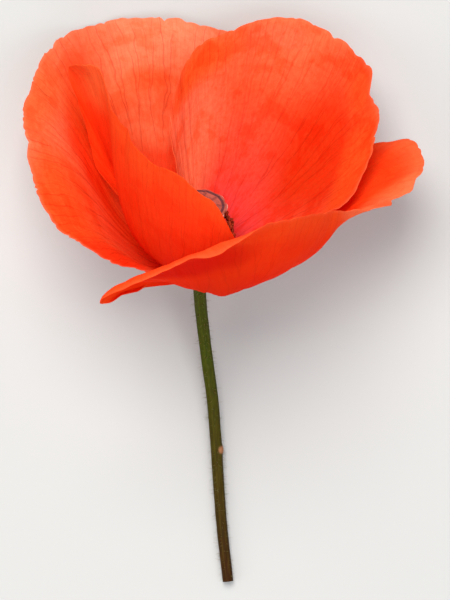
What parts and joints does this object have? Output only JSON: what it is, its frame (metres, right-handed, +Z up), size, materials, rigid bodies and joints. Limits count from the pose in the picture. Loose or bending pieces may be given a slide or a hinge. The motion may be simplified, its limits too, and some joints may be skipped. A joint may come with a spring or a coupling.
{
  "type": "poppy flower",
  "caption": "Red field poppy in bloom, cut with a short bristly stem and lying on its back petals: crinkled petals round a flat-topped seed vessel and dark stamens.",
  "frame": {"origin": "centre of the flower's footprint on the surface it lies on", "axes": "+Z up from the surface, +Y along the length from the stem's cut end to the bloom, +X to the right as seen from above with the bloom at the top"},
  "size_m": [0.0804, 0.1172, 0.062],
  "materials": {
    "petal": "thin silky orange-red petal with fine radial veins and crinkles, light showing through",
    "pistil": "matte mauve-brown seed vessel with a pale-rimmed, rayed stigma disc",
    "stamen": "dark purple-brown anthers on thin dark filaments",
    "stem": "olive-green stalk with short pale bristles, browner towards the cut"
  },
  "bodies": {
    "root": {"petal_outer_left": "petal", "petal_outer_right": "petal", "petal_inner_left": "petal", "petal_inner_right": "petal", "pistil": "pistil", "stamens": "stamen", "stem": "stem"}
  },
  "joints": []
}
